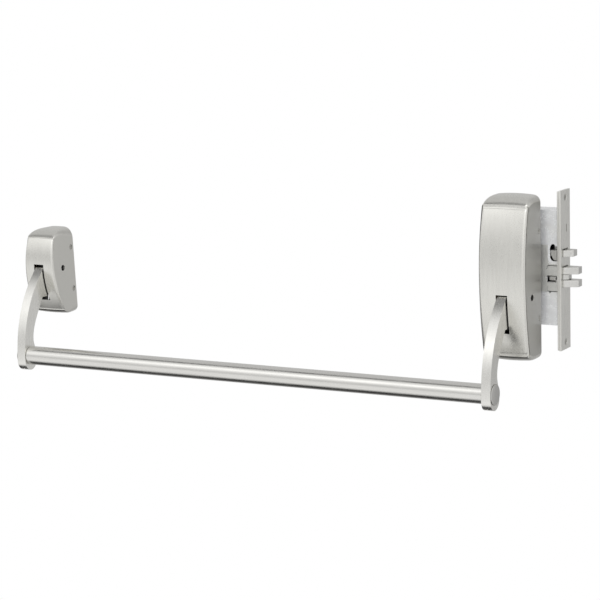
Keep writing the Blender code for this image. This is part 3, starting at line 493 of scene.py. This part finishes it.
class CoverShape:
    """The outside of a case cover, as the CAD part has it, on a finer mesh."""

    side_draft = 0.4 * MM
    fold_radius = 0.7 * MM

    def __init__(
        self, x, half, flare, base, fold, bulge, bow, corner, side_radius, depth, end_depths, peak, crown
    ):
        self.x = x
        self.half = half
        self.flare = flare
        self.base = base
        self.fold = fold
        self.bulge = bulge
        self.bow = bow
        self.corner = corner
        self.side_radius = side_radius
        self.depth = depth
        self.end_depths = end_depths
        self.peak = peak
        self.crown = crown
        self.parts = round((base[1] - base[0]) / UP_STEP)

    def ring(self, share, wall):
        """Points of the outline at a share of the depth: X, Z, the normal, and the place across and up."""
        half = self.half - wall - self.side_draft * share
        turned_in = share**self.bulge
        bow = mix(*self.bow, turned_in)
        bottom_corner = mix(self.corner[0], self.corner[2], share)
        top_corner = mix(self.corner[1], self.corner[2], share)
        low = mix(self.base[0], self.fold[0], turned_in) + bow + wall
        high = mix(self.base[1], self.fold[1], turned_in) - bow - wall
        tall = (high - low) / 2
        outline = rounded_rectangle((-half, -tall), (half, tall), bottom_corner, top_corner)
        points = []
        for x, z in subdivided(outline, ACROSS, self.parts):
            across = x / half
            rise = z / tall
            corner = top_corner if z > 0 else bottom_corner
            normal = Vector((beyond(x, half - corner), beyond(z, tall - corner))).normalized()
            bowed = bow * (1 - across * across) * rise * abs(rise) ** 3
            middle = (low + high) / 2
            points.append((x * (1 - self.flare * rise), middle + z + bowed, normal, across, rise))
        return points

    def front(self, across, rise, wall):
        """How far out the front is, at a place across and up."""
        end = self.end_depths[1] if rise > self.peak else self.end_depths[0]
        reach = (rise - self.peak) / (math.copysign(1, rise - self.peak) - self.peak)
        return self.depth - (self.depth - end) * reach * reach - self.crown * across * across - wall

    def surface(self, bm, wall, shares, turns):
        """Rings of vertices from the open back to the middle of the front."""
        rows = []
        for share in shares:
            row = []
            for x, z, _, across, rise in self.ring(share, wall):
                row.append(bm.verts.new((self.x + x, -self.front(across, rise, wall) * share, z)))
            rows.append(row)
        edge = self.ring(1, wall)
        for turn in turns:
            row = []
            for x, z, normal, across, rise in edge:
                radius = mix(self.fold_radius, self.side_radius, normal[0] ** 2)
                radius = max(radius - wall, 0.3 * MM)
                inset = radius * (1 - math.cos(turn))
                back = radius * (1 - math.sin(turn))
                out = back - self.front(across, rise, wall)
                row.append(bm.verts.new((self.x + x - normal[0] * inset, out, z - normal[1] * inset)))
            rows.append(row)
        self.fill(bm, rows[-1], edge, wall)
        return rows

    def fill(self, bm, ring, edge, wall):
        """The front, as rows of faces between the points of its edge that face each other."""
        left = CORNER_STEPS + ACROSS
        below = self.parts + 2 * CORNER_STEPS
        rows = [[ring[left - j] for j in range(ACROSS + 1)]]
        for k in range(1, below):
            ends = ring[left + k], ring[CORNER_STEPS - k]
            side, rise = edge[left + k][3:]
            row = [ends[0]]
            for j in range(1, ACROSS):
                share = j / ACROSS
                across = mix(side, -side, share)
                rounded = self.bow[1] * (side * side - across * across) * rise * abs(rise) ** 3
                x = mix(ends[0].co[0], ends[1].co[0], share)
                row.append(bm.verts.new((x, -self.front(across, rise, wall), ends[0].co[2] + rounded)))
            rows.append([*row, ends[1]])
        rows.append([ring[left + below + j] for j in range(ACROSS + 1)])
        for one, two in zip(rows, rows[1:]):
            for j in range(ACROSS):
                bm.faces.new((one[j], one[j + 1], two[j + 1], two[j]))

    def build(self):
        """The whole shell, whose faces on the inside take the second material, which paints shade on them."""
        bm = bmesh.new()
        shares = [i / SIDE_ROWS for i in range(SIDE_ROWS)]
        turns = [math.pi / 2 * i / FOLD_STEPS for i in range(FOLD_STEPS + 1)]
        outside = self.surface(bm, 0, shares, turns)
        outer = len(bm.verts)
        inside = self.surface(bm, COVER_WALL, shares[::4], [0, math.pi / 2])
        for vert, point in zip(inside[0], self.ring(0, COVER_WALL + BACK_LIP)):
            vert.co = (self.x + point[0], 0, point[1])
        rows = outside[::-1] + inside
        for one, two in zip(rows, rows[1:]):
            for i in range(len(one)):
                j = (i + 1) % len(one)
                bm.faces.new((one[i], one[j], two[j], two[i]))
        bm.verts.index_update()
        for face in bm.faces:
            face.material_index = int(all(vert.index >= outer for vert in face.verts))
        return bm


ACTIVE = CoverShape(
    x=0,
    half=31.8 * MM,
    flare=0,
    base=(-103.8 * MM, 107 * MM),
    fold=(-94.8 * MM, 97.3 * MM),
    bulge=3.8,
    bow=(2.1 * MM, 0.6 * MM),
    corner=(7.5 * MM, 8.5 * MM, 5.2 * MM),
    side_radius=5 * MM,
    depth=53.5 * MM,
    end_depths=(39.2 * MM, 39.6 * MM),
    peak=0.1,
    crown=1 * MM,
)
IDLE = CoverShape(
    x=-ARM_SPACING,
    half=24.2 * MM,
    flare=0.09,
    base=(-86.3 * MM, 33.4 * MM),
    fold=(-80 * MM, 24.4 * MM),
    bulge=5,
    bow=(1.1 * MM, 0.6 * MM),
    corner=(8 * MM, 13.5 * MM, 1.8 * MM),
    side_radius=3.5 * MM,
    depth=53.5 * MM,
    end_depths=(31.5 * MM, 46.3 * MM),
    peak=0.33,
    crown=0.1 * MM,
)


def cover(node, shape, slot_top, screw_heights):
    """The fine cover: its slot for the arm, the access hole in its side and the recesses for its screws."""
    look = IDLE_LOOK if shape is IDLE else LOOKS["satin_stainless"]
    made = piece_from(node + "_skin", shape.build(), look)
    made.data.materials.append(INSIDE_SHADE_LOOK)
    x = shape.x
    far = shape.half + 5 * MM
    slot_low = (x - SLOT_HALF, SLOT_DEPTHS[0], SLOT_BOTTOM)
    slot = box_mesh(slot_low, (x + SLOT_HALF, SLOT_DEPTHS[1], slot_top))
    access = round_cutter(PIVOT_ACCESS_RADIUS, "X", PIVOT, x + PIVOT_ACCESS_START, x + far)
    bores = [round_cutter(SCREW_BORE, "X", (SCREW_LINE, z), x - far, x + far) for z in screw_heights]
    carve(made, slot, access, *bores)
    made.data.set_sharp_from_angle(angle=SMOOTH_ANGLE)
    carry(made, "fixed", node)


# ---------------------------------------------------------------- arms, crossbar and end plugs
def arm_outline(with_nose):
    """The arm from the side, as (Y, Z): front, round end, waist, back, the part in the case and the hub."""
    boss = Vector((BAR_AXIS[0] + 0.5 * MM, BAR_AXIS[1] - BOSS_DROP))
    foot = Vector((boss[0] - BOSS_RADIUS, boss[1]))
    front_pull = Vector((-30.8 * MM, -28.6 * MM))
    points = bezier(ARM_FRONT_TOP, ARM_FRONT_TOP + front_pull, foot + Vector((0, 62 * MM)), foot, 56)
    points += arc(boss, BOSS_RADIUS, 180, 355, 56)
    heel = points[-1]
    points = points[:-1]
    waist_pull = ARM_WAIST - Vector((0, 7 * MM))
    points += bezier(heel, heel + Vector((0.4 * MM, 12 * MM)), waist_pull, ARM_WAIST, 24)
    back_pull = ARM_BACK_TOP + Vector((-17.5 * MM, -25.5 * MM))
    points += bezier(ARM_WAIST, ARM_WAIST + Vector((0, 15.2 * MM)), back_pull, ARM_BACK_TOP, 36)
    points += [ARM_BACK_TOP, ARM_INNER]
    if with_nose:
        rest = -BAR_TURN / 2
        angle = math.radians(rest)
        tip = PIVOT + NOSE_REACH * Vector((math.cos(angle), math.sin(angle)))
        points += arc(PIVOT, HUB_RADIUS, -56, -32, 6)
        points += arc(tip, NOSE_RADIUS, rest - 90, rest + 90, 12)
        points += arc(PIVOT, HUB_RADIUS, 0, 112, 28)
    else:
        points += arc(PIVOT, HUB_RADIUS, -56, 112, 44)
    return points


def slanted(bm, start, end):
    """Turns a shape built along +Z from the origin so that it runs from start to end."""
    turned = (end - start).to_track_quat("Z", "Y").to_matrix().to_4x4()
    bm.transform(Matrix.Translation(start) @ turned)


def arm(node, x, with_nose):
    shape = prism(arm_outline(with_nose), "X", x - ARM_HALF, x + ARM_HALF)
    made = piece_from(node + "_body", shape, ARM_LOOK)
    wide = 2 * ARM_HALF
    start = Vector((x, *BAR_AXIS)) + SET_SCREW_START * SET_SCREW_DIRECTION
    set_bore = round_cutter(SET_SCREW_BORE, "Z", (0, 0), 0, SET_SCREW_DEPTH)
    slanted(set_bore, start, start + SET_SCREW_DIRECTION)
    carve(
        made,
        round_cutter(PIVOT_BORE, "X", PIVOT, x - wide, x + wide),
        round_cutter(PLUG_RADIUS + GAP, "X", BAR_AXIS, x - wide, x + wide, ROUND),
        set_bore,
    )
    made.data.set_sharp_from_angle(angle=SMOOTH_ANGLE)
    ease_edges(made, 0.45 * MM, 3)
    carry(made, "push_bar", node)


def crossbar(node):
    low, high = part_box(node)
    inner = BAR_RADIUS - BAR_WALL
    ease = 0.4 * MM
    profile = [(BAR_RADIUS - ease, low[0]), (BAR_RADIUS, low[0] + ease), (BAR_RADIUS, high[0] - ease)]
    profile += [(BAR_RADIUS - ease, high[0]), (inner + ease, high[0]), (inner, high[0] - ease)]
    profile += [(inner, low[0] + ease), (inner + ease, low[0])]
    shape = ring_of_rows(profile, "X", BAR_AXIS, closed=True)
    made = piece_from(node + "_skin", shape, LOOKS["brushed_bar"])
    carry(made, "push_bar", node)


def end_plug(node, x, side):
    """A plug through the arm into the bar, whose flat head has a chamfer and an eased rim."""
    outer = ARM_HALF + GAP
    rim = 13.4 * MM
    profile = [(0, outer + 1.2 * MM), (12.3 * MM, outer + 1.2 * MM), (12.6 * MM, outer + 1.13 * MM)]
    profile += [(13.2 * MM, outer + 0.72 * MM), (rim, outer + 0.5 * MM), (rim, outer + 0.12 * MM)]
    profile += [(rim - 0.12 * MM, outer), (PLUG_RADIUS, outer), (PLUG_RADIUS, -29.4 * MM)]
    profile += [(PLUG_RADIUS - 0.6 * MM, -30 * MM), (0, -30 * MM)]
    points = [(radius, x + side * along) for radius, along in profile]
    made = piece_from(node + "_turned", ring_of_rows(points, "X", BAR_AXIS), END_LOOK)
    carry(made, "push_bar", node)


# ---------------------------------------------------------------- carried over CAD nodes
def refine(node, width):
    """Planar faces joined up again and outer edges eased, on a CAD node.

    Known fault: on lock_case, a joined face of the front wall closes over the bolt openings.
    """
    target = frame["nodes"][node]
    weld = target.modifiers.new("weld", "WELD")
    weld.merge_threshold = 0.000002
    flat = target.modifiers.new("flat", "DECIMATE")
    flat.decimate_type = "DISSOLVE"
    flat.angle_limit = math.radians(0.6)
    ease_edges(target, width, 2, 35)


def dress_nodes():
    record = frame["record"]
    slot_of = {part["node"]: part["material_slot"] for part in record["subparts"]}
    for name, node in frame["nodes"].items():
        look = FACE_LOOK if name in ("faceplate", "inner_front") else LOOKS[slot_of[name]]
        for slot in node.material_slots:
            slot.material = look
        if not node.material_slots:
            node.data.materials.append(look)


# ---------------------------------------------------------------- studio
def aim(camera, back, roll):
    """Turns the camera to look against a direction, rolled by some degrees."""
    right = Vector((-back[1], back[0], 0)).normalized()
    up = back.cross(right)
    turn = math.radians(roll)
    across = math.cos(turn) * right + math.sin(turn) * up
    upward = math.cos(turn) * up - math.sin(turn) * right
    camera.matrix_world = Matrix((across, upward, back)).transposed().to_4x4()


def camera():
    azimuth = math.radians(28.29)
    elevation = math.radians(10.11)
    level = math.cos(elevation)
    back = Vector((math.sin(azimuth) * level, -math.cos(azimuth) * level, math.sin(elevation)))
    data = bpy.data.cameras.new("camera")
    made = bpy.data.objects.new("camera", data)
    bpy.context.scene.collection.objects.link(made)
    aim(made, back, -1.5)
    made.location = (1.12666, -2.67532, 0.49241)
    data.lens = 139.29
    data.sensor_width = 36
    data.shift_x = 0.00057
    data.shift_y = 0.00088
    data.clip_end = 100
    bpy.context.scene.camera = made


# The levels are divided by this in the ramps, which then multiply by it
STUDIO_STRENGTH = 2
# Brightness of the studio seen from the object, by the angle from the front horizon over the top to the back
STUDIO_LEFT = (
    (-180, 0.62), (-150, 0.62), (-130, 0.40), (-114, 0.14), (-98, 0.02), (-76, 0.04), (-70, 0.42),
    (-62, 0.75), (-55, 0.92), (-46, 1.05), (-40, 1.0), (-36, 0.9), (-30, 0.98), (-18, 1.0),
    (-12, 0.9), (-6, 0.77), (2, 0.7), (8, 0.7), (13, 0.84), (18, 0.98), (26, 1.08), (38, 1.06),
    (54, 1.08), (64, 0.95), (71, 0.8), (75, 0.14), (84, 0.14), (89, 0.55), (100, 0.68), (128, 0.64),
    (150, 0.66), (180, 0.62),
)
STUDIO_RIGHT = (
    (-180, 0.46), (-150, 0.46), (-120, 0.4), (-90, 0.25), (-60, 0.4), (-40, 0.85), (-25, 1.0),
    (0, 1.0), (15, 1.1), (30, 1.7), (50, 2.2), (65, 1.8), (80, 1.0), (110, 0.65), (150, 0.5),
    (180, 0.46),
)
STUDIO_END = 0.85  # straight to the right
LEFT_TO_RIGHT = (-0.2, 0.3)  # X of a direction, from all left to all right
RIGHT_TO_END = (0.36, 0.8)


def studio_ramp(tree, angle, stops):
    ramp = tree.nodes.new("ShaderNodeValToRGB")
    ramp.color_ramp.interpolation = "LINEAR"
    elements = ramp.color_ramp.elements
    while len(elements) < len(stops):
        elements.new(0.5)
    for element, (degrees, level) in zip(elements, stops):
        element.position = (degrees + 180) / 360
        element.color = (*[level / STUDIO_STRENGTH] * 3, 1)
    tree.links.new(angle, ramp.inputs[0])
    return ramp.outputs["Color"]


def world():
    """A white surround for the camera, and a soft studio of light and dark cards for reflections."""
    made = bpy.data.worlds.new("studio")
    bpy.context.scene.world = made
    made.use_nodes = True
    tree = made.node_tree
    tree.nodes.clear()

    def node(kind, **settings):
        new = tree.nodes.new("ShaderNode" + kind)
        for key, value in settings.items():
            setattr(new, key, value)
        return new

    place = node("TexCoord")
    parts = node("SeparateXYZ")
    tree.links.new(place.outputs["Generated"], parts.inputs[0])
    forward = node("Math", operation="MULTIPLY")
    forward.inputs[1].default_value = -1
    tree.links.new(parts.outputs["Y"], forward.inputs[0])
    angle = node("Math", operation="ARCTAN2")
    tree.links.new(parts.outputs["Z"], angle.inputs[0])
    tree.links.new(forward.outputs[0], angle.inputs[1])
    share = node("MapRange")
    share.inputs["From Min"].default_value = -math.pi
    share.inputs["From Max"].default_value = math.pi
    tree.links.new(angle.outputs[0], share.inputs["Value"])
    side = node("MapRange", interpolation_type="SMOOTHSTEP")
    side.inputs["From Min"].default_value, side.inputs["From Max"].default_value = LEFT_TO_RIGHT
    tree.links.new(parts.outputs["X"], side.inputs["Value"])
    both = node("Mix", data_type="RGBA")
    tree.links.new(side.outputs["Result"], both.inputs[0])
    tree.links.new(studio_ramp(tree, share.outputs["Result"], STUDIO_LEFT), both.inputs[6])
    tree.links.new(studio_ramp(tree, share.outputs["Result"], STUDIO_RIGHT), both.inputs[7])
    end = node("MapRange", interpolation_type="SMOOTHSTEP")
    end.inputs["From Min"].default_value, end.inputs["From Max"].default_value = RIGHT_TO_END
    tree.links.new(parts.outputs["X"], end.inputs["Value"])
    ended = node("Mix", data_type="RGBA")
    tree.links.new(end.outputs["Result"], ended.inputs[0])
    tree.links.new(both.outputs[2], ended.inputs[6])
    ended.inputs[7].default_value = (*[STUDIO_END / STUDIO_STRENGTH] * 3, 1)
    cards = node("Background")
    cards.inputs["Strength"].default_value = STUDIO_STRENGTH
    tree.links.new(ended.outputs[2], cards.inputs["Color"])
    white = node("Background")
    white.inputs["Color"].default_value = (1, 1, 1, 1)
    white.inputs["Strength"].default_value = 1
    path = node("LightPath")
    shown = node("MixShader")
    tree.links.new(path.outputs["Is Camera Ray"], shown.inputs[0])
    tree.links.new(cards.outputs[0], shown.inputs[1])
    tree.links.new(white.outputs[0], shown.inputs[2])
    out = node("OutputWorld")
    tree.links.new(shown.outputs[0], out.inputs["Surface"])


def floor():
    """A pale floor under the part, lit evenly, that the metal doesn't reflect."""
    bm = bmesh.new()
    bmesh.ops.create_circle(bm, cap_ends=True, segments=96, radius=9)
    mesh = bpy.data.meshes.new("floor")
    bm.to_mesh(mesh)
    bm.free()
    made = bpy.data.objects.new("floor", mesh)
    bpy.context.scene.collection.objects.link(made)
    made.location = (-0.35, 0, CAD_BOX[0][2] - 0.12)
    look = bpy.data.materials.new("pale_floor")
    look.use_nodes = True
    tree = look.node_tree
    tree.nodes.clear()
    glow = tree.nodes.new("ShaderNodeEmission")
    out = tree.nodes.new("ShaderNodeOutputMaterial")
    tree.links.new(glow.outputs[0], out.inputs["Surface"])
    mesh.materials.append(look)
    made.visible_glossy = False
    made.visible_diffuse = False
    made.visible_shadow = False


def softbox(name, location, target, size, energy):
    data = bpy.data.lights.new(name, "AREA")
    data.shape = "RECTANGLE"
    data.size = size[0]
    data.size_y = size[1]
    data.energy = energy
    made = bpy.data.objects.new(name, data)
    bpy.context.scene.collection.objects.link(made)
    made.location = location
    made.rotation_euler = (Vector(location) - Vector(target)).to_track_quat("Z", "Y").to_euler()


# ---------------------------------------------------------------- the whole scene
dress_nodes()
cover("active_cover", ACTIVE, -15 * MM, (61 * MM, -50 * MM))
cover("idle_cover", IDLE, -13 * MM, (6 * MM, -52 * MM))
arm("active_arm", 0, True)
arm("idle_arm", -ARM_SPACING, False)
crossbar("crossbar_tube")
end_plug("active_end_plug", 0, 1)
end_plug("idle_end_plug", -ARM_SPACING, -1)
for node in ("faceplate", "inner_front", "lock_case", "lock_side_plate", "lock_middle_plate"):
    refine(node, 0.25 * MM)
for node in ("latchbolt", "auxiliary_bolt", "anti_friction_tongue"):
    refine(node, 0.35 * MM)

camera()
world()
floor()
softbox("key", (-1.6, -2.2, 1.6), (-0.35, 0, 0), (1.4, 1.0), 2)

scene = bpy.context.scene
scene.view_settings.view_transform = "Standard"

bpy.context.view_layer.update()
